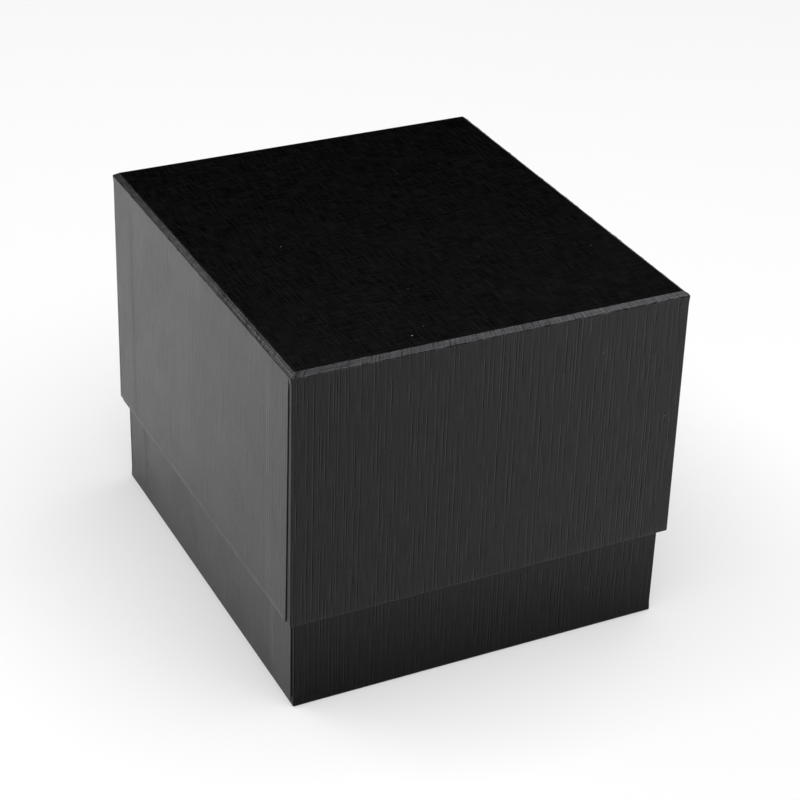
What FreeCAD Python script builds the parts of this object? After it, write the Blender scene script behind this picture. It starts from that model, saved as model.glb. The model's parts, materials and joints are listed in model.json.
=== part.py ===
import FreeCAD, Part
import os
import Sketcher

# A small rigid gift box with a telescoping lift-off lid.  Each half is a greyboard blank that is
# scored, folded up and taped at its corners, wrapped in linen-embossed paper that turns in past
# the free edge, and lined with thin paper.
#
# Millimetres.  +Z is up, +Y points to the back, and the origin is the middle of the underside.

DRIVING_SIZES = {
    "lip_width": 100.0,     # outside width, along X, across the lid's lip
    "lip_depth": 113.4,     # outside depth, along Y, across the lid's lip
    "box_height": 89.2,     # from the underside to the top of the closed box
    "lid_height": 65.0,     # from the lid's lip to its top
    "lip_flare": 0.35,      # how far each lid wall leans out, from the top down to the lip
    "base_inset": 1.75,     # how far each base wall stands in from the lid's lip
    "board": 1.0,           # thickness of the greyboard
    "wrap": 0.2,            # thickness of the embossed wrapping paper
    "lining": 0.12,         # thickness of the lining paper
    "crease_bevel": 1.1,    # leg of the flat that the creased folds leave round the lid's top
    "turn_in": 15.0,        # how far the wrap turns in past the lip or the rim
    "stay_tape": 0.1,       # thickness of the tape that holds the corners of a blank
    "stay_leg": 12.7,       # reach of the tape from the corner, along each wall
    "stay_gap": 2.0,        # the tape stops this far short of the blank's top and bottom
    "corner_slit": 0.1,     # gap between two walls of a blank where they meet at a corner
}

# Levels and insets that several sub-parts share, as expressions on the sheet's cells.
# An inset is measured inwards from the outside of the wrapping paper.
TOP = "size.box_height"
LIP = "(size.box_height - size.lid_height)"
RIM = "(size.box_height - size.wrap - size.board - size.lining)"
FLOOR = "0"
OUTSIDE = "0"
BOARD_OUTSIDE = "size.wrap"
BOARD_INSIDE = "(size.wrap + size.board)"
LINING_INSIDE = "(size.wrap + size.board + size.lining)"
TURN_IN_INSIDE = "(2 * size.wrap + size.board)"

# Each corner's side of the box along X and along Y.
CORNERS = {
    "front_left": (-1, -1),
    "front_right": (1, -1),
    "back_left": (-1, 1),
    "back_right": (1, 1),
}


class Lid:
    """The lid's outline, which narrows evenly from the lip up to the top."""

    lean = "(size.lip_flare / size.lid_height)"

    @staticmethod
    def outline(inset, level):
        drawn_in = f"(2 * {inset} + 2 * {Lid.lean} * ({level} - {LIP}))"
        return f"(size.lip_width - {drawn_in})", f"(size.lip_depth - {drawn_in})"


class Base:
    """The base's outline, which is the same at every level."""

    lean = "0"

    @staticmethod
    def outline(inset, level):
        drawn_in = f"(2 * size.base_inset + 2 * {inset})"
        return f"(size.lip_width - {drawn_in})", f"(size.lip_depth - {drawn_in})"


def fill_sheet(sheet):
    for row, (alias, value) in enumerate(DRIVING_SIZES.items(), start=1):
        cell = f"A{row}"
        sheet.set(cell, str(value))
        sheet.setAlias(cell, alias)


def new_body(label):
    body = doc.addObject("PartDesign::Body", label)
    body.Label = label
    return body


def driving_length(sketch, constraint, name, size):
    """Name a length of the sketch and bind it to the sheet."""
    index = sketch.addConstraint(constraint)
    sketch.renameConstraint(index, name)
    sketch.setExpression(f"Constraints.{name}", size)


def rectangle(body, name, width, depth, level):
    """A level rectangle centred on the box's upright axis."""
    plane = next(item for item in body.Origin.OriginFeatures if item.Role == "XY_Plane")
    sketch = body.newObject("Sketcher::SketchObject", name)
    sketch.AttachmentSupport = [(plane, "")]
    sketch.MapMode = "FlatFace"
    sketch.setExpression("AttachmentOffset.Base.z", level)

    start_size = 20.0
    corners = [
        FreeCAD.Vector(side_x * start_size / 2, side_y * start_size / 2, 0)
        for side_x, side_y in ((-1, -1), (1, -1), (1, 1), (-1, 1))
    ]
    for side in range(4):
        following = (side + 1) % 4
        sketch.addGeometry(Part.LineSegment(corners[side], corners[following]), False)
    for side in range(4):
        following = (side + 1) % 4
        direction = "Horizontal" if side % 2 == 0 else "Vertical"
        sketch.addConstraint(Sketcher.Constraint("Coincident", side, 2, following, 1))
        sketch.addConstraint(Sketcher.Constraint(direction, side))
    sketch.addConstraint(Sketcher.Constraint("Symmetric", 0, 1, 1, 2, -1, 1))
    driving_length(sketch, Sketcher.Constraint("DistanceX", 0, 1, 0, 2, start_size), "width", width)
    driving_length(sketch, Sketcher.Constraint("DistanceY", 1, 1, 1, 2, start_size), "depth", depth)
    return sketch


def block(body, name, half, inset, bottom, top):
    """Add a block that follows the outline of the lid or the base from one level to another."""
    feature_name = f"{body.Label}_{name}"
    pad = body.newObject("PartDesign::Pad", feature_name)
    pad.Profile = rectangle(body, f"{feature_name}_outline", *half.outline(inset, bottom), bottom)
    pad.setExpression("Length", f"{top} - {bottom}")
    pad.setExpression("TaperAngle", f"-atan({half.lean})")
    doc.recompute()
    return pad


def hollow(body, name, half, inset, bottom, top):
    """Cut away what a block of the same description would fill."""
    volume_before = body.Shape.Volume
    feature_name = f"{body.Label}_{name}"
    pocket = body.newObject("PartDesign::Pocket", feature_name)
    pocket.Profile = rectangle(body, f"{feature_name}_outline", *half.outline(inset, bottom), bottom)
    pocket.Reversed = True
    pocket.setExpression("Length", f"{top} - {bottom}")
    pocket.setExpression("TaperAngle", f"-atan({half.lean})")
    doc.recompute()
    if pocket.Shape.Volume >= volume_before:
        raise RuntimeError(f"{feature_name} cuts nothing away")
    return pocket


def bevel(body, name, feature, level, leg):
    """Bevel the edges of a feature that lie at a level."""
    height = float(feature.evalExpression(level))
    tolerance = 1e-4
    edges = []
    for number, edge in enumerate(feature.Shape.Edges, start=1):
        box = edge.BoundBox
        if abs(box.ZMin - height) < tolerance and box.ZLength < tolerance:
            edges.append(f"Edge{number}")
    chamfer = body.newObject("PartDesign::Chamfer", f"{body.Label}_{name}")
    chamfer.Base = (feature, edges)
    chamfer.setExpression("Size", leg)
    doc.recompute()
    return chamfer


def corner_box(name, half, side_x, side_y, length, width, bottom, top):
    """A box whose outer corner stands at a corner of the blank."""
    box = doc.addObject("Part::Box", name)
    outline_width, outline_depth = half.outline(BOARD_OUTSIDE, bottom)
    box.setExpression("Length", length)
    box.setExpression("Width", width)
    box.setExpression("Height", f"{top} - {bottom}")
    box.setExpression("Placement.Base.x", f"{side_x} * ({outline_width} - {length}) / 2 - {length} / 2")
    box.setExpression("Placement.Base.y", f"{side_y} * ({outline_depth} - {width}) / 2 - {width} / 2")
    box.setExpression("Placement.Base.z", bottom)
    return box


def corner_stays(prefix, half, bottom, top):
    """Four strips of tape, each folded round a corner of the blank and pressed flush into it."""
    tape_bottom = f"({bottom} + size.stay_gap)"
    tape_top = f"({top} - size.stay_gap)"
    band = new_body(f"{prefix}_stay_band")
    block(band, "outside", half, BOARD_OUTSIDE, tape_bottom, tape_top)
    hollow(band, "inside", half, "(size.wrap + size.stay_tape)", tape_bottom, tape_top)

    stays = []
    for corner, (side_x, side_y) in CORNERS.items():
        stay = doc.addObject("Part::Common", f"{prefix}_stay_{corner}")
        stay.Base = band
        stay.Tool = corner_box(
            f"{prefix}_stay_reach_{corner}", half, side_x, side_y,
            "size.stay_leg", "size.stay_leg", tape_bottom, tape_top,
        )
        stays.append(stay)
    return stays


def corner_slits(prefix, half, bottom, top):
    """Four gaps, where the left and right walls' ends meet the front and back walls' inner faces."""
    slits = []
    for corner, (side_x, side_y) in CORNERS.items():
        slit = corner_box(
            f"{prefix}_slit_{corner}", half, side_x, side_y,
            "(1.5 * size.board)", "size.corner_slit", bottom, top,
        )
        _, inside_depth = half.outline(BOARD_INSIDE, bottom)
        middle = f"{side_y} * ({inside_depth} - size.corner_slit) / 2"
        slit.setExpression("Placement.Base.y", f"{middle} - size.corner_slit / 2")
        slits.append(slit)
    return slits


def board_from(label, blank, stays, slits):
    """The blank with its corners slit and the tape's thickness pressed into it."""
    removed = doc.addObject("Part::MultiFuse", f"{label}_removed")
    removed.Shapes = stays + slits
    board = doc.addObject("Part::Cut", label)
    board.Base = blank
    board.Tool = removed
    return board


def wall_liner(label, half, bottom, top):
    """A band of lining paper on the inside of the four walls."""
    liner = new_body(label)
    block(liner, "outside", half, BOARD_INSIDE, bottom, top)
    hollow(liner, "inside", half, LINING_INSIDE, bottom, top)
    return liner


def flat_liner(label, half, bottom, top):
    """A sheet of lining paper on the inside of the floor or of the top."""
    liner = new_body(label)
    block(liner, "sheet", half, BOARD_INSIDE, bottom, top)
    return liner


doc = FreeCAD.newDocument("gift_box")
fill_sheet(doc.addObject("Spreadsheet::Sheet", "size"))
doc.recompute()

# Lid board: the blank's top and walls.  The paper adds to the bevel that shows outside, so the
# board's own bevel is smaller, and the paper keeps its thickness across it.
board_bevel = "(size.crease_bevel - (2 - sqrt(2)) * size.wrap)"
lid_bottom = f"({LIP} + size.wrap)"
lid_top = f"({TOP} - size.wrap)"
lid_ceiling = f"({TOP} - {BOARD_INSIDE})"
lid_blank = new_body("lid_blank")
folded_up = block(lid_blank, "folded_up", Lid, BOARD_OUTSIDE, lid_bottom, lid_top)
bevel(lid_blank, "creased_folds", folded_up, lid_top, board_bevel)
hollow(lid_blank, "inside", Lid, BOARD_INSIDE, lid_bottom, lid_ceiling)
lid_stays = corner_stays("lid", Lid, lid_bottom, lid_top)
lid_slits = corner_slits("lid", Lid, lid_bottom, lid_ceiling)
lid_board = board_from("lid_board", lid_blank, lid_stays, lid_slits)

# Lid wrap: one sheet over the top and walls, folded under the lip and turned in.
lid_wrap = new_body("lid_wrap")
block(lid_wrap, "outside", Lid, OUTSIDE, LIP, TOP)
board_room = hollow(lid_wrap, "board_room", Lid, BOARD_OUTSIDE, LIP, lid_top)
back_of_folds = bevel(lid_wrap, "back_of_folds", board_room, lid_top, board_bevel)
bevel(lid_wrap, "creased_folds", back_of_folds, TOP, "size.crease_bevel")
block(lid_wrap, "lip_fold", Lid, OUTSIDE, LIP, lid_bottom)
block(lid_wrap, "turn_in", Lid, BOARD_INSIDE, LIP, f"({LIP} + size.turn_in)")
hollow(lid_wrap, "mouth", Lid, TURN_IN_INSIDE, LIP, f"({LIP} + size.turn_in)")

# Lid liners: a sheet under the top, and a band that covers the board above the turn-in.
lid_liner_bottom = f"({lid_ceiling} - size.lining)"
lid_top_liner = flat_liner("lid_top_liner", Lid, lid_liner_bottom, lid_ceiling)
lid_wall_liner = wall_liner("lid_wall_liner", Lid, f"({LIP} + size.turn_in)", lid_liner_bottom)

# Base board: the blank's floor and walls, open at the top.
base_bottom = f"({FLOOR} + size.wrap)"
base_top = f"({RIM} - size.wrap)"
base_floor = f"({FLOOR} + {BOARD_INSIDE})"
base_blank = new_body("base_blank")
block(base_blank, "folded_up", Base, BOARD_OUTSIDE, base_bottom, base_top)
hollow(base_blank, "inside", Base, BOARD_INSIDE, base_floor, base_top)
base_stays = corner_stays("base", Base, base_bottom, base_top)
base_slits = corner_slits("base", Base, base_floor, base_top)
base_board = board_from("base_board", base_blank, base_stays, base_slits)

# Base wrap: one sheet under the floor and up the walls, folded over the rim and turned in.
base_wrap = new_body("base_wrap")
block(base_wrap, "outside", Base, OUTSIDE, FLOOR, RIM)
hollow(base_wrap, "board_room", Base, BOARD_OUTSIDE, base_bottom, RIM)
block(base_wrap, "rim_fold", Base, OUTSIDE, base_top, RIM)
block(base_wrap, "turn_in", Base, BOARD_INSIDE, f"({RIM} - size.turn_in)", RIM)
hollow(base_wrap, "mouth", Base, TURN_IN_INSIDE, f"({RIM} - size.turn_in)", RIM)

# Base liners: a sheet on the floor, and a band that covers the board below the turn-in.
base_liner_top = f"({base_floor} + size.lining)"
base_floor_liner = flat_liner("base_floor_liner", Base, base_floor, base_liner_top)
base_wall_liner = wall_liner("base_wall_liner", Base, base_liner_top, f"({RIM} - size.turn_in)")

doc.recompute()

sub_parts = [lid_board, *lid_stays, lid_wrap, lid_top_liner, lid_wall_liner]
sub_parts += [base_board, *base_stays, base_wrap, base_floor_liner, base_wall_liner]

for item in doc.Objects:
    if "Invalid" in item.State or "Error" in item.State:
        raise RuntimeError(f"{item.Label} did not recompute: {item.State}")
for sub_part in sub_parts:
    if sub_part.Shape.isNull() or not sub_part.Shape.isValid():
        raise RuntimeError(f"{sub_part.Label} has no valid shape")

os.makedirs("parts", exist_ok=True)
for sub_part in sub_parts:
    sub_part.Shape.exportStep(f"parts/{sub_part.Label}.step")
    print(f"{sub_part.Label}: {len(sub_part.Shape.Solids)} solid, {sub_part.Shape.Volume:.1f} mm3")
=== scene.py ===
import json
import math

import bmesh
import bpy
from mathutils import Euler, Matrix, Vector, noise


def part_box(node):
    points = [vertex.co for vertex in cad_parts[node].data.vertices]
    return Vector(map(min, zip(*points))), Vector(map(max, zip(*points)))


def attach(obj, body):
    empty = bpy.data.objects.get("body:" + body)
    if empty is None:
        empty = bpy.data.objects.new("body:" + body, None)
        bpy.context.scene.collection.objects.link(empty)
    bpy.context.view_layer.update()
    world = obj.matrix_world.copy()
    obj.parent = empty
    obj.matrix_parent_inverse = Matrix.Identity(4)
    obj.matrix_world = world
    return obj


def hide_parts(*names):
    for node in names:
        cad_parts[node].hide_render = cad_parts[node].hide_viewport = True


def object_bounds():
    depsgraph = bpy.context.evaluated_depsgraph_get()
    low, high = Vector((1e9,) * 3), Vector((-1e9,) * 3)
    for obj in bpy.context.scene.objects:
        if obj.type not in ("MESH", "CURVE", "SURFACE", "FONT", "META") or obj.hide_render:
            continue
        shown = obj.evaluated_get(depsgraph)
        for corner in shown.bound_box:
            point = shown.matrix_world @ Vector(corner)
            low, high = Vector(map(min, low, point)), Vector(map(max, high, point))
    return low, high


# Looks of the gift box: its embossed wrapping paper with folded corners, board, tape and lining,
# on a pale floor under soft lights.  Lengths are metres unless a name or comment says otherwise.
# "Reach" is a distance from a half's closed face towards its open edge.  "Inset" is a distance
# inwards from its outside.

MM = 0.001

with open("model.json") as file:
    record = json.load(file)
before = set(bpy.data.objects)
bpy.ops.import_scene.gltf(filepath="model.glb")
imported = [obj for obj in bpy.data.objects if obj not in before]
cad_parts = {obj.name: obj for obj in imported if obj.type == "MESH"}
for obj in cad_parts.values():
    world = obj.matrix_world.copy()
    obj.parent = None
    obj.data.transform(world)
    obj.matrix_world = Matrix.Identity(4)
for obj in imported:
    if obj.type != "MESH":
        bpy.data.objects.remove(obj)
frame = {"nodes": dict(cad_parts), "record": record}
nodes = frame["nodes"]
bounds_at_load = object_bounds()


# ---------------------------------------------------------------- sizes taken from the CAD nodes

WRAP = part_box("base_board")[0].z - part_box("base_wrap")[0].z
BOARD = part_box("base_floor_liner")[0].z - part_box("base_board")[0].z
BASE_TURN_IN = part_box("base_wrap")[1].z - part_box("base_wall_liner")[1].z
LID_TURN_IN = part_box("lid_wall_liner")[0].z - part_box("lid_wrap")[0].z


# ---------------------------------------------------------------- sizes of the paper's details

BOARD_BEVEL = 0.98 * MM          # leg of the flat along the board's creased folds
BEVEL_ACROSS = 1.25 * MM         # level width of the paper's bevel over those folds
BEVEL_DOWN = 0.9 * MM            # height of the same bevel
BEVEL_SLOPE = math.atan2(BEVEL_DOWN, BEVEL_ACROSS)
FOLD_RADIUS = 0.3 * MM           # of the blunt corners at a closed face
LIP_RADIUS = 0.26 * MM           # of the fold over the open edge
CORNER_RADIUS = 0.28 * MM        # of the upright corners outside
INNER_RADIUS = 0.05 * MM         # of the upright corners inside
RAGGED_CREASE = 0.20 * MM        # how far the crease below the lid's bevel wanders up and down
RAGGED_LENGTH = 1.1 * MM         # length of one such wander
CREASE_DEPTH = 0.07 * MM         # of the fine creases along the lid's left bevel
CREASE_SHARES = (0.20, 0.84)     # where they run across the bevel
BEVEL_SHARES = (0.12, 0.20, 0.28, 0.45, 0.62, 0.76, 0.84, 0.92)

FLAP_RECESS = 0.16 * MM          # how far the corner flap lies below the side panel over it
FLAP_REACH = 12.6 * MM           # how far from the corner the flap under the side panel ends
FLAP_FADE = 1.6 * MM             # half the width of the side panel's slope at that end
FLAP_RISE = 0.9 * MM             # height over which the flap's recess grows
PANEL_SINK = 0.075 * MM          # how far the side panel sinks beyond the flap's end
PANEL_SINK_RISE = 7 * MM         # height over which that sinking grows
PANEL_SINK_END = (1.5 * MM, 0.3 * MM)  # where it starts to fade and is gone, from the open edge
CUT_EDGE_PLACE = 1.5 * MM        # of the side panel's cut edge from the corner, at the bevel
CUT_EDGE_RUN = 0.05 * MM         # level width of the cut edge
NO_FLAP_RUN = 0.16 * MM          # spacing used instead where no flap shows
NEAR_CUT = 0.6 * MM              # width of the strip of close points behind the cut edge
WALL_GAP = 0.3 * MM              # between the fold at a closed face and the wall's first ring
WAVE_DEPTH = 0.03 * MM           # largest unevenness of the walls
SAG_DEPTH = 0.10 * MM            # largest unevenness of the closed faces

CORNER_STEPS = 5
FRONT_STATIONS = 241             # points along the front or back wall in one ring
SIDE_STATIONS = 121              # points along the left or right wall in one ring
WALL_STEPS = 40                  # rings down a wall
FADE_STEPS = 8
LIP_STEPS = 4

LINE_WIDTH = 0.22                # of one embossed line, in millimetres on the sheet
LINES_PER_MM = 1.1

# Painted light and shade in the paper's reflections, as a middle value and a rise: first rightwards
# along the front and back walls, then frontwards along the side walls.
WALL_PAINTED_GRADIENT = ((0.92, 0.12), (0.90, 0.0))
# Painted light on the bevels: brighter rightwards at the front and frontwards at the sides.
BEVEL_PAINTED_GRADIENT = ((0.84, 0.31), (0.93, 0.50))
FACE_PAINTED_GRADIENT = (0.62, 0.38)       # on a closed face, rising frontwards


# ---------------------------------------------------------------- shape of the wrapping paper

class Half:
    """One half of the box: its levels, its size, how its walls lean and the painted light and shade in
    its paper's reflections.
    """

    def __init__(self, closed_level, open_level, half_width, half_depth, lean, turn_in, painted_shading_range,
                 painted_shading_reach, strip_painted_shadow):
        self.closed_level = closed_level
        self.open_level = open_level
        self.height = abs(open_level - closed_level)
        self.outwards = 1 if open_level > closed_level else -1
        self.half_width = half_width
        self.half_depth = half_depth
        self.lean = lean
        self.turn_in = turn_in
        self.painted_shading_range = painted_shading_range
        self.painted_shading_reach = painted_shading_reach
        self.strip_painted_shadow = strip_painted_shadow

    def level(self, reach):
        """The height at a reach."""
        return self.closed_level + self.outwards * reach

    def painted_shading(self, reach):
        """Painted light and shade in the paper's reflections, from the closed face to the open edge."""
        start, end = self.painted_shading_range
        return start + (end - start) * min(1.0, reach / self.painted_shading_reach)

    def outline(self, inset, reach):
        """Half the width and half the depth of the outline at an inset and a reach."""
        drawn_in = inset + self.lean * (self.height - reach)
        return self.half_width - drawn_in, self.half_depth - drawn_in


def lid_half():
    """The lid, closed at the top, with walls that lean outwards towards the lip."""
    low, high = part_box("lid_wrap")
    liner_low, liner_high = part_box("lid_top_liner")
    width_at_liner = liner_high.x + BOARD + WRAP
    lean = (high.x - width_at_liner) / (liner_low.z - low.z)
    return Half(
        closed_level=high.z,
        open_level=low.z,
        half_width=high.x,
        half_depth=high.y,
        lean=lean,
        turn_in=LID_TURN_IN,
        # Painted light and shade: the lid's reflections a little weaker towards the lip.
        painted_shading_range=(1.03, 0.90),
        painted_shading_reach=high.z - low.z,
        # Painted shadow of the side panel's cut edge on the strip beside it.
        strip_painted_shadow=(1.0, 0.4, 0.1),
    )


def base_half():
    """The base, closed at the underside, with upright walls."""
    low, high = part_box("base_wrap")
    return Half(
        closed_level=low.z,
        open_level=high.z,
        half_width=high.x,
        half_depth=high.y,
        lean=0.0,
        turn_in=BASE_TURN_IN,
        # Painted shade: the base's reflections much weaker towards the floor.
        painted_shading_range=(0.36, 0.80),
        painted_shading_reach=26 * MM,
        # Painted shade over the whole strip beside each cut edge.
        strip_painted_shadow=(0.1, 0.1, 0.1),
    )


def smooth(value, start, end):
    """0 before start, 1 after end, and an S-shaped rise between them."""
    share = min(1.0, max(0.0, (value - start) / (end - start)))
    return share * share * (3 - 2 * share)


class Ring:
    """One loop round the box: where it runs, how the corner flap shows in it, its wear and its painted
    light and shade.

    flap is the flap's recess, sink the side panel's sinking beyond the flap, and edge the place of
    the panel's cut edge.  ragged and groove are the depths of creases.
    """

    def __init__(self, inset, reach, radius=CORNER_RADIUS, flap=0.0, sink=0.0, edge=CUT_EDGE_PLACE,
                 wear=0.0, ragged=0.0, groove=0.0, polish=WALL_PAINTED_GRADIENT, outer=True):
        self.inset = inset
        self.reach = reach
        self.radius = radius
        self.flap = flap
        self.sink = sink
        self.edge = edge
        self.wear = wear
        self.ragged = ragged
        self.groove = groove
        self.polish = polish
        self.outer = outer


def side_stations(half_depth, ring):
    """Places along a left or right wall as (y, inset), from the front corner's end to the back one's."""
    end = half_depth - ring.radius
    edge = half_depth - ring.edge
    cut = CUT_EDGE_RUN if ring.flap > 0 else NO_FLAP_RUN
    near = [
        (end, ring.flap),
        (edge + (end - edge) / 2, ring.flap),
        (edge + cut, ring.flap),
        (edge, 0.0),
        (edge - CUT_EDGE_RUN, 0.0),
        (edge - NEAR_CUT, 0.0),
    ]
    fade_start = half_depth - FLAP_REACH + FLAP_FADE
    for step in range(1, 4):
        place = edge - NEAR_CUT + (fade_start - edge + NEAR_CUT) * step / 4
        near.append((place, 0.0))
    for step in range(FADE_STEPS + 1):
        place = fade_start - 2 * FLAP_FADE * step / FADE_STEPS
        near.append((place, ring.sink * smooth(step, 0, FADE_STEPS)))
    inner = half_depth - FLAP_REACH - FLAP_FADE
    count = SIDE_STATIONS + 1 - 2 * len(near)
    middle = [(inner - 2 * inner * step / count, ring.sink) for step in range(1, count)]
    far = [(-place, inset) for place, inset in reversed(near)]
    stations = near + middle + far
    return [(-place, inset) for place, inset in stations]


def front_stations(half_width, ring):
    """Places along the front or back wall, from the left corner's end to the right one's."""
    end = half_width - ring.flap - ring.radius
    count = FRONT_STATIONS - 1
    return [-end + 2 * end * step / count for step in range(count + 1)]


def corner_arc(centre_x, centre_y, radius, start_degrees):
    """Points round a corner between its two ends, which belong to the walls."""
    points = []
    for step in range(1, CORNER_STEPS):
        angle = math.radians(start_degrees + 90 * step / CORNER_STEPS)
        points.append((centre_x + radius * math.cos(angle), centre_y + radius * math.sin(angle)))
    return points


def strip_stations(half, ring):
    """Painted shadow on the strips between the corners and the cut edges, by place in the ring."""
    if ring.flap == 0:
        return {}
    right = FRONT_STATIONS + CORNER_STEPS - 1
    left = right + SIDE_STATIONS + CORNER_STEPS - 1 + FRONT_STATIONS + CORNER_STEPS - 1
    strips = {}
    for side in (right, left):
        for place, share in enumerate(half.strip_painted_shadow):
            strips[side + place] = share
            strips[side + SIDE_STATIONS - 1 - place] = share
    return strips


def ring_points(half, ring):
    """The ring's points as (x, y), anticlockwise seen from above, starting with the front wall."""
    half_width, half_depth = half.outline(ring.inset, ring.reach)
    along = front_stations(half_width, ring)
    sides = side_stations(half_depth, ring)
    corner_x = half_width - ring.flap - ring.radius
    corner_y = half_depth - ring.radius
    points = [(x, -half_depth) for x in along]
    points += corner_arc(corner_x, -corner_y, ring.radius, -90)
    points += [(half_width - inset, y) for y, inset in sides]
    points += corner_arc(corner_x, corner_y, ring.radius, 0)
    points += [(-x, half_depth) for x in along]
    points += corner_arc(-corner_x, corner_y, ring.radius, 90)
    points += [(-half_width + inset, -y) for y, inset in sides]
    points += corner_arc(-corner_x, -corner_y, ring.radius, 180)
    return points


def uneven(place, seed):
    """A gentle unevenness of the board, between 0 and 1."""
    return 0.5 + 0.5 * noise.noise(place * 28.0 + Vector((seed, 2 * seed, 0)))


def add_wave(x, y, z, half, ring, seed):
    """Sink a point of an outer wall by the wall's unevenness, away from the corners."""
    half_width, half_depth = half.outline(ring.inset, ring.reach)
    depth = WAVE_DEPTH * uneven(Vector((x, y, z)), seed)
    from_side = half_width - abs(x)
    from_front = half_depth - abs(y)
    if from_front < 0.5 * MM:
        fade = smooth(from_side, 1 * MM, 6 * MM)
        return x, y - math.copysign(depth * fade, y)
    fade = smooth(from_front, 3 * MM, 8 * MM)
    return x - math.copysign(depth * fade, x), y


def polish_share(x, y, half, ring):
    """Painted light and shade in a wall's or bevel's reflections here, as a share of the half's painted
    shading at that reach.
    """
    on_front, on_side = ring.polish
    if half.half_width - abs(x) < half.half_depth - abs(y):
        middle, rise = on_side
        return middle - rise * y / half.half_depth
    middle, rise = on_front
    return middle + rise * x / half.half_width


def crease_share(x, y, half):
    """How deep the creases of the left bevel are here: none at the back, full near the front."""
    on_left = smooth(-x, half.half_width - 2.5 * MM, half.half_width - 2.0 * MM)
    from_corner = smooth(y + half.half_depth, 1.2 * MM, 2.5 * MM)
    towards_front = smooth(-y, -18 * MM, 25 * MM)
    uneven_depth = 0.75 + 0.5 * noise.noise(Vector((y / (5 * MM), 0.5, 0.5)))
    return on_left * from_corner * towards_front * uneven_depth


def outer_wall(half, start, end, cut_edge, flap_start):
    """Rings down the outside of the walls, on which the corner flaps show."""
    rings = []
    fade_start, fade_end = (half.height - place for place in PANEL_SINK_END)
    for step in range(WALL_STEPS + 1):
        reach = start + (end - start) * (step / WALL_STEPS)
        flap = FLAP_RECESS * smooth(reach, flap_start, flap_start + FLAP_RISE)
        sink = PANEL_SINK * smooth(reach, start, start + PANEL_SINK_RISE)
        sink *= 1 - smooth(reach, fade_start, fade_end)
        rings.append(Ring(0.0, reach, flap=flap, sink=sink, edge=cut_edge(reach)))
    return rings


def inner_ring(inset, reach):
    """A plain ring on the inside of the wrap, where the paper lies flat on the board."""
    return Ring(inset, reach, radius=INNER_RADIUS, outer=False)


def open_edge(half, flap, cut_edge):
    """Rings over the open edge, from the end of the outer wall to the start of the turn-in."""
    height = half.height
    edge = cut_edge(height)
    wall_end = height - LIP_RADIUS
    inner_start = 2 * WRAP + BOARD - LIP_RADIUS
    turns = [math.radians(90 * step / LIP_STEPS) for step in range(1, LIP_STEPS + 1)]
    rings = []
    for turn in turns:
        inset = LIP_RADIUS - LIP_RADIUS * math.cos(turn)
        reach = wall_end + LIP_RADIUS * math.sin(turn)
        rings.append(Ring(inset, reach, flap=flap, edge=edge, wear=1.0))
    rings.append(Ring(inner_start, height, radius=INNER_RADIUS, edge=edge, wear=0.5))
    for turn in turns:
        inset = inner_start + LIP_RADIUS * math.sin(turn)
        reach = wall_end + LIP_RADIUS * math.cos(turn)
        rings.append(inner_ring(inset, reach))
    return rings


def wrap_profile(half, closed_edge, inner_closed_edge, cut_edge, flap_start):
    """All the rings of one wrap, from the closed face round the open edge and back along the board."""
    height = half.height
    inside = 2 * WRAP + BOARD
    end_of_turn_in = height - half.turn_in
    wall_start = closed_edge[-1].reach + WALL_GAP
    wall = outer_wall(half, wall_start, height - LIP_RADIUS, cut_edge, flap_start)
    return [
        *closed_edge,
        *wall,
        *open_edge(half, wall[-1].flap, cut_edge),
        inner_ring(inside, height - half.turn_in / 2),
        inner_ring(inside, end_of_turn_in),
        inner_ring(inside - WRAP, end_of_turn_in),
        inner_ring(inside - WRAP, height - WRAP),
        inner_ring(WRAP, height - WRAP),
        *inner_closed_edge,
    ]


def add_face(mesh, uv_layer, corners, places):
    """A face with its place on the sheet of paper, in millimetres, at each corner."""
    face = mesh.faces.new(corners)
    face.smooth = True
    for loop, place in zip(face.loops, places):
        loop[uv_layer].uv = place


def cap(mesh, uv_layer, half, ring, loop, level, facing, seed):
    """Close a ring with a grid between its opposite points.  facing is 1 for up and -1 for down."""
    half_width, half_depth = half.outline(ring.inset, ring.reach)
    along = front_stations(half_width, ring)
    sides = [y for y, _ in side_stations(half_depth, ring)]
    columns, rows = len(along), len(sides)
    painted_shading_layer = mesh.verts.layers.float["painted_shading"]
    polish, polish_rise = FACE_PAINTED_GRADIENT
    grid = {}
    for i, x in enumerate(along):
        for j, y in enumerate(sides):
            sag = 0.0
            if ring.outer:
                from_edge = min(half_width - abs(x), half_depth - abs(y))
                sag = SAG_DEPTH * uneven(Vector((x, y, level)), seed) * smooth(from_edge, 0, 10 * MM)
            vert = mesh.verts.new((x, y, level - facing * sag))
            # Painted light on the closed face: its reflections stronger towards the front.
            vert[painted_shading_layer] = half.painted_shading(ring.reach) * (polish - polish_rise * y / half_depth)
            grid[i, j] = vert

    def sheet_place(vert):
        return vert.co.x / MM, vert.co.y / MM

    def add(corners):
        if facing < 0:
            corners = corners[::-1]
        add_face(mesh, uv_layer, corners, [sheet_place(vert) for vert in corners])

    for i in range(columns - 1):
        for j in range(rows - 1):
            add([grid[i, j], grid[i + 1, j], grid[i + 1, j + 1], grid[i, j + 1]])

    front = 0
    right = columns + CORNER_STEPS - 1
    back = right + rows + CORNER_STEPS - 1
    left = back + columns + CORNER_STEPS - 1
    walls = (
        (front, [grid[i, 0] for i in range(columns)]),
        (right, [grid[columns - 1, j] for j in range(rows)]),
        (back, [grid[columns - 1 - i, rows - 1] for i in range(columns)]),
        (left, [grid[0, rows - 1 - j] for j in range(rows)]),
    )
    count = len(loop)
    for start, border in walls:
        for step in range(len(border) - 1):
            add([loop[start + step], loop[start + step + 1], border[step + 1], border[step]])
        corner_start = start + len(border) - 1
        for step in range(CORNER_STEPS):
            first = loop[corner_start + step]
            second = loop[(corner_start + step + 1) % count]
            add([first, second, border[-1]])


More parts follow.
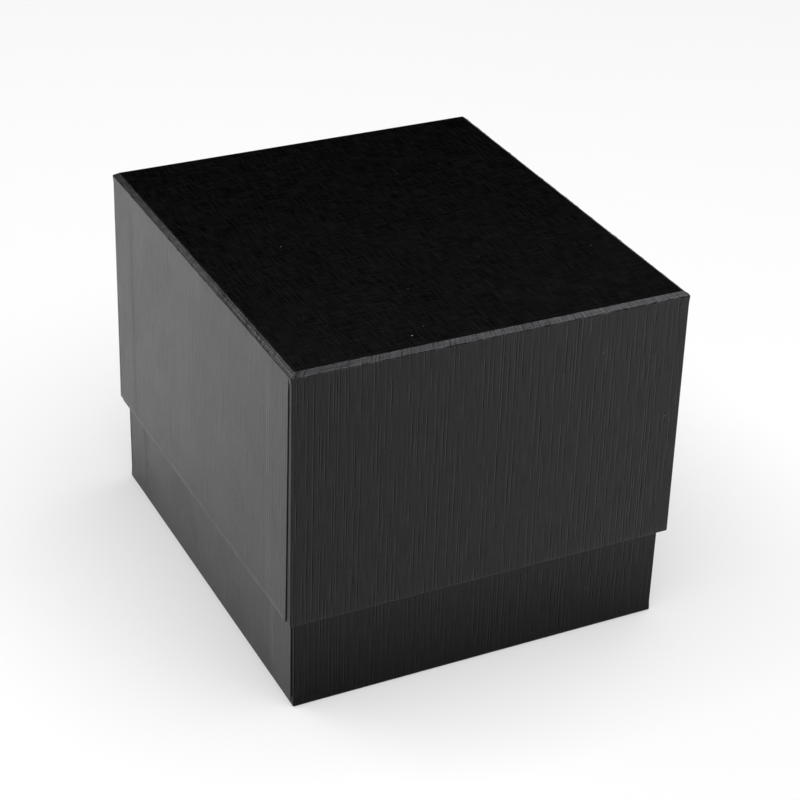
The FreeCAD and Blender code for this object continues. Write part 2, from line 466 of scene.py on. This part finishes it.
def add_loops(mesh, half, rings, seed):
    """The points of all rings, with their wear and painted shading, as one list for each ring."""
    wear_layer = mesh.verts.layers.float["wear"]
    painted_shading_layer = mesh.verts.layers.float["painted_shading"]
    loops = []
    for ring in rings:
        level = half.level(ring.reach)
        loop = []
        strips = strip_stations(half, ring)
        for station, (x, y) in enumerate(ring_points(half, ring)):
            ragged = 0.0
            if ring.outer:
                x, y = add_wave(x, y, level, half, ring, seed)
                ragged = ring.ragged * noise.noise(Vector((x, y, seed)) / RAGGED_LENGTH)
            if ring.groove > 0:
                depth = ring.groove * crease_share(x, y, half)
                x += depth * math.sin(BEVEL_SLOPE)
                ragged += depth * math.cos(BEVEL_SLOPE)
            vert = mesh.verts.new((x, y, level + half.outwards * ragged))
            vert[wear_layer] = ring.wear
            # Painted light and shade in the reflections, with painted shadow beside the cut edges.
            polish = half.painted_shading(ring.reach) * polish_share(x, y, half, ring)
            vert[painted_shading_layer] = polish * strips.get(station, 1.0)
            loop.append(vert)
        loops.append(loop)
    return loops


def join_loops(mesh, uv_layer, half, loops):
    """Quads between neighbouring loops, with places on the sheet that run round and down the walls."""
    count = len(loops[0])
    around = [0.0]
    widest = [vert.co for vert in loops[len(loops) // 3]]
    for step in range(count):
        around.append(around[-1] + (widest[(step + 1) % count] - widest[step]).length / MM)

    down = 0.0
    for upper, lower in zip(loops, loops[1:]):
        run = (upper[0].co - lower[0].co).length / MM
        for step in range(count):
            following = (step + 1) % count
            corners = [upper[step], lower[step], lower[following], upper[following]]
            places = [
                (around[step], down),
                (around[step], down + run),
                (around[step + 1], down + run),
                (around[step + 1], down),
            ]
            if half.outwards > 0:
                corners.reverse()
                places.reverse()
            add_face(mesh, uv_layer, corners, places)
        down += run


def wrap_mesh(name, half, rings, seed):
    """The wrap as one closed sheet: rings joined by quads, with a grid over each closed face."""
    mesh = bmesh.new()
    uv_layer = mesh.loops.layers.uv.new("sheet")
    mesh.verts.layers.float.new("wear")
    mesh.verts.layers.float.new("painted_shading")
    loops = add_loops(mesh, half, rings, seed)
    join_loops(mesh, uv_layer, half, loops)
    facing = -half.outwards
    cap(mesh, uv_layer, half, rings[0], loops[0], half.closed_level, facing, seed)
    cap(mesh, uv_layer, half, rings[-1], loops[-1], half.level(rings[-1].reach), -facing, seed)

    data = bpy.data.meshes.new(name)
    mesh.to_mesh(data)
    mesh.free()
    piece = bpy.data.objects.new(name, data)
    bpy.context.scene.collection.objects.link(piece)
    return piece


def soft_corner(inset, reach, turn_from, turn_to, steps=3, **ring_values):
    """Rings round the blunt corner between two flats; the turns are slopes in degrees, 0 level."""
    rings = []
    for step in range(steps + 1):
        turn = math.radians(turn_from + (turn_to - turn_from) * step / steps)
        ring_inset = inset - FOLD_RADIUS * math.sin(turn)
        ring_reach = reach + FOLD_RADIUS * (1 - math.cos(turn))
        rings.append(Ring(ring_inset, ring_reach, wear=1.0, **ring_values))
    return rings


def lid_closed_edge():
    """The creased folds round the lid's top: a flat bevel between two blunt corners."""
    slope = math.degrees(BEVEL_SLOPE)
    top_cut = FOLD_RADIUS * math.tan(math.radians(slope / 2))
    wall_cut = FOLD_RADIUS * math.tan(math.radians((90 - slope) / 2))
    top_corner = soft_corner(BEVEL_ACROSS + top_cut, 0.0, 0, slope, polish=BEVEL_PAINTED_GRADIENT)
    wall_corner_start = BEVEL_DOWN + wall_cut - FOLD_RADIUS
    wall_corner = soft_corner(FOLD_RADIUS, wall_corner_start, slope, 90, ragged=RAGGED_CREASE)
    first, last = top_corner[-1], wall_corner[0]
    flat = []
    for share in BEVEL_SHARES:
        inset = first.inset + (last.inset - first.inset) * share
        reach = first.reach + (last.reach - first.reach) * share
        groove = CREASE_DEPTH if share in CREASE_SHARES else 0.0
        flat.append(Ring(inset, reach, wear=0.3, groove=groove, polish=BEVEL_PAINTED_GRADIENT))
    return top_corner + flat + wall_corner


def base_closed_edge():
    """The plain fold round the underside."""
    return soft_corner(FOLD_RADIUS, 0.0, 0, 90, steps=4, polish=BEVEL_PAINTED_GRADIENT)


def lid_board_edge():
    """The back of the wrap where it turns over the board's bevel."""
    return [inner_ring(WRAP, WRAP + BOARD_BEVEL), inner_ring(WRAP + BOARD_BEVEL, WRAP)]


def base_board_edge():
    """The back of the wrap where it turns over the board's plain fold."""
    return [inner_ring(WRAP, WRAP)]


def lid_cut_edge(reach):
    """How far the side panel's cut edge is from the corner, which grows towards the lip."""
    height = lid.height
    near_lip = smooth(reach, height - 1.6 * MM, height)
    wander = 0.10 * noise.noise(Vector((reach / (3 * MM), 0.3, 0.7)))
    return CUT_EDGE_PLACE + (0.85 * reach / height + 0.5 * near_lip + wander) * MM


def base_cut_edge(reach):
    """The same on the base, where it does not change with the reach."""
    return 1.6 * MM


# ---------------------------------------------------------------- materials

class Nodes:
    """Short ways to add and join the nodes of one material."""

    def __init__(self, name):
        self.material = bpy.data.materials.new(name)
        self.material.use_nodes = True
        self.tree = self.material.node_tree
        self.shader = self.tree.nodes["Principled BSDF"]

    def add(self, kind, inputs=None, **settings):
        made = self.tree.nodes.new(kind)
        for key, value in settings.items():
            setattr(made, key, value)
        for key, value in (inputs or {}).items():
            self.put(made.inputs[key], value)
        return made

    def put(self, socket, value):
        if isinstance(value, bpy.types.NodeSocket):
            self.tree.links.new(value, socket)
        else:
            socket.default_value = value

    def math(self, operation, first, second=0.0, third=0.0):
        made = self.add("ShaderNodeMath", {0: first, 1: second, 2: third}, operation=operation)
        return made.outputs[0]

    def stretch(self, vector, scale, offset=(0, 0, 0)):
        made = self.add("ShaderNodeMapping", {"Vector": vector, "Scale": scale, "Location": offset})
        return made.outputs[0]

    def noise(self, vector, scale, detail=2.0, roughness=0.5):
        inputs = {"Vector": vector, "Scale": scale, "Detail": detail, "Roughness": roughness}
        return self.add("ShaderNodeTexNoise", inputs).outputs["Fac"]

    def ramp(self, value, low, high, low_result=0.0, high_result=1.0):
        inputs = {0: value, 1: low, 2: high, 3: low_result, 4: high_result}
        made = self.add("ShaderNodeMapRange", inputs, interpolation_type="SMOOTHSTEP")
        return made.outputs[0]

    def mix(self, share, first, second):
        made = self.add("ShaderNodeMix", {0: share, 6: first, 7: second}, data_type="RGBA")
        return made.outputs[2]

    def set(self, **values):
        for key, value in values.items():
            self.put(self.shader.inputs[key.replace("_", " ")], value)


def embossed_lines(n, across, along):
    """Thin parallel lines about a millimetre apart, as the strength of their grooves and ridges.

    Each line keeps its own place across the sheet, and comes and goes along it.
    """
    lines = []
    for shift in (0.0, LINE_WIDTH):
        inputs = {"W": n.math("ADD", across, shift), "Scale": LINES_PER_MM}
        cells = n.add("ShaderNodeTexVoronoi", inputs, voronoi_dimensions="1D")
        line = n.ramp(cells.outputs["Distance"], 0.0, LINE_WIDTH * LINES_PER_MM, 1.0, 0.0)
        own_place = n.math("MULTIPLY", cells.outputs["W"], 7.0)
        run = n.math("MULTIPLY", along, 0.065)
        where = n.add("ShaderNodeCombineXYZ", {0: own_place, 1: run}).outputs[0]
        strength = n.ramp(n.noise(where, 1.0, 1.0, 0.5), 0.42, 0.60)
        lines.append(n.math("MULTIPLY", line, strength))
    return lines


def threads(n, sheet, scale, run, down_offset, across_offset):
    """Soft threads down the sheet, and others across it.  The smaller the run, the longer they are."""
    down = n.noise(n.stretch(sheet, (1.0, run, 1.0), down_offset), scale, 1.0, 0.6)
    across = n.noise(n.stretch(sheet, (run, 1.0, 1.0), across_offset), scale, 1.0, 0.6)
    return down, across


def dust_specks(n, sheet):
    """A few small specks of dust: where they are, and how bright each one is."""
    cells = n.add("ShaderNodeTexVoronoi", {"Vector": sheet, "Scale": 0.22})
    size = n.ramp(n.noise(sheet, 0.9, 0.0), 0.3, 0.7, 0.018, 0.032)
    lot = n.add("ShaderNodeSeparateColor", {0: cells.outputs["Color"]})
    chosen = n.math("GREATER_THAN", lot.outputs[0], 0.84)
    near = n.math("LESS_THAN", cells.outputs["Distance"], size)
    speck = n.math("MULTIPLY", chosen, near)
    brightness = n.math("MULTIPLY_ADD", lot.outputs[1], 0.8, 0.2)
    return speck, n.math("MULTIPLY", speck, brightness)


def embossed_paper():
    """Black paper with a linen emboss: fine lines both ways, worn edges and a little dust."""
    n = Nodes("embossed_paper")
    sheet = n.add("ShaderNodeUVMap", uv_map="sheet").outputs[0]
    place = n.add("ShaderNodeSeparateXYZ", {0: sheet})
    normal = n.add("ShaderNodeSeparateXYZ", {0: n.add("ShaderNodeNewGeometry").outputs["True Normal"]})
    flatness = n.math("ABSOLUTE", normal.outputs[2])

    # The emboss: lines and threads.  Those running across show mostly on level faces.
    groove_down, ridge_down = embossed_lines(n, place.outputs[0], place.outputs[1])
    groove_across, ridge_across = embossed_lines(n, place.outputs[1], place.outputs[0])
    lines_share = n.math("MULTIPLY_ADD", flatness, 0.25, 0.08)
    groove = n.math("MULTIPLY_ADD", groove_across, lines_share, groove_down)
    ridge = n.math("MULTIPLY_ADD", ridge_across, lines_share, ridge_down)
    relief = n.math("SUBTRACT", ridge, groove)
    fine_down, fine_across = threads(n, sheet, 4.2, 0.03, (0, 0, 0), (7, 3, 0))
    fine_share = n.math("MULTIPLY_ADD", flatness, 0.75, 0.12)
    fine = n.math("MULTIPLY_ADD", fine_across, fine_share, fine_down)
    coarse_down, coarse_across = threads(n, sheet, 2.9, 0.06, (5, 5, 0), (3, 8, 0))
    coarse = n.math("SUBTRACT", n.math("ADD", coarse_down, coarse_across), 1.0)
    grain = n.noise(sheet, 5.5, 1.0, 0.6)
    weave = n.math("MULTIPLY_ADD", grain, 0.74, n.math("MULTIPLY", fine, 0.28))
    weave = n.math("MULTIPLY_ADD", coarse, n.math("MULTIPLY", flatness, 0.55), weave)
    height = n.math("MULTIPLY_ADD", relief, 0.6, weave)
    bump = n.add("ShaderNodeBump", {"Strength": 1.0, "Distance": 0.032 * MM, "Height": height})

    # Colour: paler on the tops of threads, with painted shade between them, grey where edges are worn,
    # and specks of dust.
    wear = n.add("ShaderNodeAttribute", attribute_name="wear").outputs["Fac"]
    worn = n.math("MULTIPLY", wear, n.ramp(n.noise(sheet, 0.35, 4.0, 0.65), 0.42, 0.68))
    thread_tops = n.ramp(coarse, -0.20, 0.24)
    paper = n.mix(thread_tops, (0.0002, 0.0002, 0.0002, 1), (0.0036, 0.0036, 0.0038, 1))
    speck, speck_brightness = dust_specks(n, sheet)
    colour = n.mix(worn, paper, (0.030, 0.030, 0.032, 1))
    colour = n.mix(speck_brightness, colour, (0.32, 0.32, 0.31, 1))

    # Sheen: cloudy and grainy and matt on dust; reflections weakened in the grooves as painted shade and
    # strengthened on the ridges as painted highlight.
    sheen = n.ramp(n.noise(sheet, 0.06, 3.0, 0.5), 0.3, 0.7, 0.22, 0.27)
    roughness = n.math("MULTIPLY_ADD", n.math("SUBTRACT", grain, 0.5), 0.16, sheen)
    roughness = n.math("MULTIPLY_ADD", speck, 0.5, roughness)
    painted_shading = n.add("ShaderNodeAttribute", attribute_name="painted_shading").outputs["Fac"]
    specular_with_painted_groove_shade = n.math("MULTIPLY_ADD", relief, 0.19, n.ramp(weave, 0.25, 0.80, 0.12, 0.54))
    n.set(Base_Color=colour, Roughness=roughness, Normal=bump.outputs[0])
    # Painted shade in the grooves and the painted light and shade from the mesh scale the reflections.
    n.set(Specular_IOR_Level=n.math("MULTIPLY", specular_with_painted_groove_shade, painted_shading), Specular_Tint=(0.95, 0.96, 1.0, 1))
    return n.material


def lining_paper():
    """Smooth matte black paper."""
    n = Nodes("lining_paper")
    place = n.add("ShaderNodeTexCoord").outputs["Object"]
    fibres = n.noise(place, 1800.0, 3.0, 0.6)
    clouds = n.noise(place, 60.0, 3.0, 0.5)
    colour = n.mix(clouds, (0.012, 0.012, 0.013, 1), (0.020, 0.020, 0.022, 1))
    bump = n.add("ShaderNodeBump", {"Strength": 0.5, "Distance": 0.02 * MM, "Height": fibres})
    n.set(Base_Color=colour, Roughness=n.ramp(fibres, 0.2, 0.8, 0.62, 0.78), Normal=bump.outputs[0])
    return n.material


def greyboard():
    """Raw recycled board: grey-brown with darker and lighter fibres."""
    n = Nodes("greyboard")
    place = n.add("ShaderNodeTexCoord").outputs["Object"]
    flecks = n.noise(place, 2600.0, 4.0, 0.7)
    clouds = n.noise(place, 140.0, 3.0, 0.5)
    body = n.mix(clouds, (0.30, 0.28, 0.25, 1), (0.40, 0.38, 0.34, 1))
    colour = n.mix(n.ramp(flecks, 0.58, 0.72, 0.0, 0.6), body, (0.16, 0.15, 0.14, 1))
    bump = n.add("ShaderNodeBump", {"Strength": 0.6, "Distance": 0.05 * MM, "Height": flecks})
    n.set(Base_Color=colour, Roughness=n.ramp(flecks, 0.3, 0.7, 0.8, 0.95), Normal=bump.outputs[0])
    return n.material


def stay_tape():
    """Gummed kraft tape."""
    n = Nodes("stay_tape")
    place = n.add("ShaderNodeTexCoord").outputs["Object"]
    fibres = n.noise(n.stretch(place, (1.0, 1.0, 0.2)), 2200.0, 3.0, 0.6)
    clouds = n.noise(place, 90.0, 2.0, 0.5)
    colour = n.mix(n.math("MULTIPLY", fibres, clouds), (0.46, 0.34, 0.21, 1), (0.62, 0.49, 0.34, 1))
    bump = n.add("ShaderNodeBump", {"Strength": 0.5, "Distance": 0.03 * MM, "Height": fibres})
    n.set(Base_Color=colour, Roughness=n.ramp(fibres, 0.3, 0.7, 0.55, 0.75), Normal=bump.outputs[0])
    return n.material


def floor_paper():
    """Pale matte studio floor."""
    n = Nodes("floor_paper")
    place = n.add("ShaderNodeTexCoord").outputs["Object"]
    clouds = n.noise(place, 3.0, 2.0, 0.5)
    colour = n.mix(clouds, (0.60, 0.60, 0.60, 1), (0.62, 0.62, 0.62, 1))
    n.set(Base_Color=colour, Roughness=0.7, Specular_IOR_Level=0.2)
    n.set(Emission_Color=(1.0, 1.0, 1.0, 1), Emission_Strength=0.25)
    return n.material


# ---------------------------------------------------------------- the pieces

lid = lid_half()
base = base_half()

lid_flap_start = BEVEL_DOWN + 0.9 * MM
base_flap_start = 0.6 * MM
lid_rings = wrap_profile(lid, lid_closed_edge(), lid_board_edge(), lid_cut_edge, lid_flap_start)
base_rings = wrap_profile(base, base_closed_edge(), base_board_edge(), base_cut_edge, base_flap_start)

lid_paper = wrap_mesh("lid_wrap_paper", lid, lid_rings, seed=3.0)
base_paper = wrap_mesh("base_wrap_paper", base, base_rings, seed=11.0)

finishes = {
    "embossed_paper": embossed_paper(),
    "lining_paper": lining_paper(),
    "greyboard": greyboard(),
    "stay_tape": stay_tape(),
}

for piece, body, node in ((lid_paper, "lid", "lid_wrap"), (base_paper, "base", "base_wrap")):
    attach(piece, body)
    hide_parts(node)
    piece.data.materials.append(finishes["embossed_paper"])

for subpart in frame["record"]["subparts"]:
    node = nodes[subpart["node"]]
    node.data.materials.clear()
    node.data.materials.append(finishes[subpart["material_slot"]])


# ---------------------------------------------------------------- stage, light and camera

FLOOR_SIZE = 6.0


def make_floor():
    """A pale floor just under the box."""
    mesh = bmesh.new()
    bmesh.ops.create_grid(mesh, x_segments=12, y_segments=12, size=FLOOR_SIZE / 2)
    data = bpy.data.meshes.new("studio_floor")
    mesh.to_mesh(data)
    mesh.free()
    floor = bpy.data.objects.new("studio_floor", data)
    floor.location.z = bounds_at_load[0].z - 0.05 * MM
    bpy.context.scene.collection.objects.link(floor)
    floor.data.materials.append(floor_paper())
    return floor


def softbox(name, place, aim, size, power):
    """A rectangular area light pointed at its aim."""
    light = bpy.data.lights.new(name, "AREA")
    light.shape = "RECTANGLE"
    light.size, light.size_y = size
    light.energy = power
    lamp = bpy.data.objects.new(name, light)
    lamp.location = place
    lamp.rotation_euler = (Vector(aim) - Vector(place)).to_track_quat("-Z", "Y").to_euler()
    bpy.context.scene.collection.objects.link(lamp)
    return lamp


def make_world(strength):
    """A pale world that only the camera sees."""
    world = bpy.data.worlds.new("studio")
    bpy.context.scene.world = world
    world.use_nodes = True
    background = world.node_tree.nodes["Background"]
    background.inputs["Color"].default_value = (1, 1, 1, 1)
    background.inputs["Strength"].default_value = strength
    world.cycles_visibility.diffuse = False
    world.cycles_visibility.glossy = False


def make_camera():
    """The camera, placed so that the box fills the frame as it does in the photograph."""
    camera = bpy.data.objects.new("camera", bpy.data.cameras.new("camera"))
    camera.location = (-0.207644, -0.420286, 0.314097)
    camera.rotation_euler = Euler([math.radians(turn) for turn in (59.8586, -1.6202, -25.8575)], "XYZ")
    camera.data.lens = 97.5168
    camera.data.sensor_width = 36.0
    camera.data.clip_start = 0.01
    camera.data.clip_end = 50.0
    bpy.context.scene.collection.objects.link(camera)
    bpy.context.scene.camera = camera


make_floor()
softbox("overhead", (-0.05, -0.72, 1.90), (-0.05, -0.719, 0.0), (3.1, 3.1), 84.0)
softbox("back_left", (-1.03, 1.27, 1.20), (0.0, 0.0, 0.05), (1.3, 0.9), 8.5)
softbox("back_right", (0.85, 1.60, 1.60), (0.0, 0.0, 0.05), (1.6, 0.9), 0.30)
make_world(0.75)
make_camera()
bpy.context.scene.view_settings.view_transform = "Standard"
